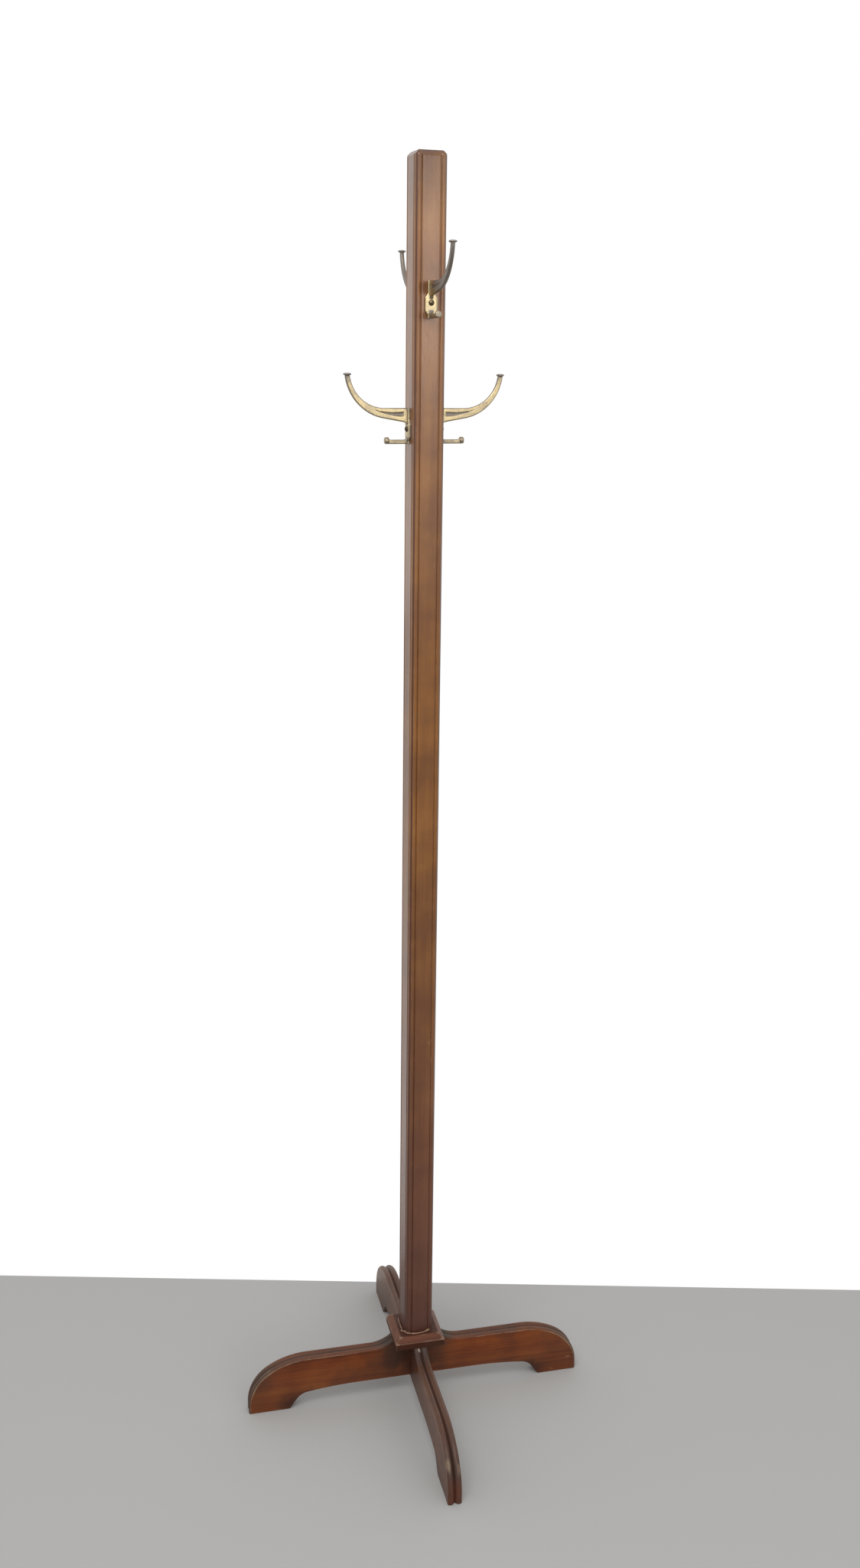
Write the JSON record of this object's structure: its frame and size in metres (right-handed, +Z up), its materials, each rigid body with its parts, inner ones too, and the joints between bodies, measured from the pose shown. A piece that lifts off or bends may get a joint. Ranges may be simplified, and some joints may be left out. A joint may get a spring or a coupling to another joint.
{
  "type": "standing coat rack",
  "caption": "Free-standing wooden coat rack: a tall square beaded post on crossed arched foot rails with a bevelled collar plate and cast brass hooks at staggered heights.",
  "frame": {"origin": "on the floor, under the axis of the post", "axes": "+Z up along the post, -Y to the front, +X to the viewer's right"},
  "size_m": [0.521, 0.521, 1.8],
  "materials": {
    "post_wood": "worn dark polish",
    "rail_wood": "worn dark polish",
    "hook_brass": "cast, tarnished",
    "screw_brass": "tarnished dark",
    "screw_steel": "plain"
  },
  "bodies": {
    "root": {"post": "post_wood", "collar_plate": "post_wood", "foot_rail_left_right": "rail_wood", "foot_rail_front_back": "rail_wood", "hook_front": "hook_brass", "hook_back": "hook_brass", "hook_left": "hook_brass", "hook_right": "hook_brass", "hook_screws": "screw_brass", "post_screw": "screw_steel"}
  },
  "joints": []
}
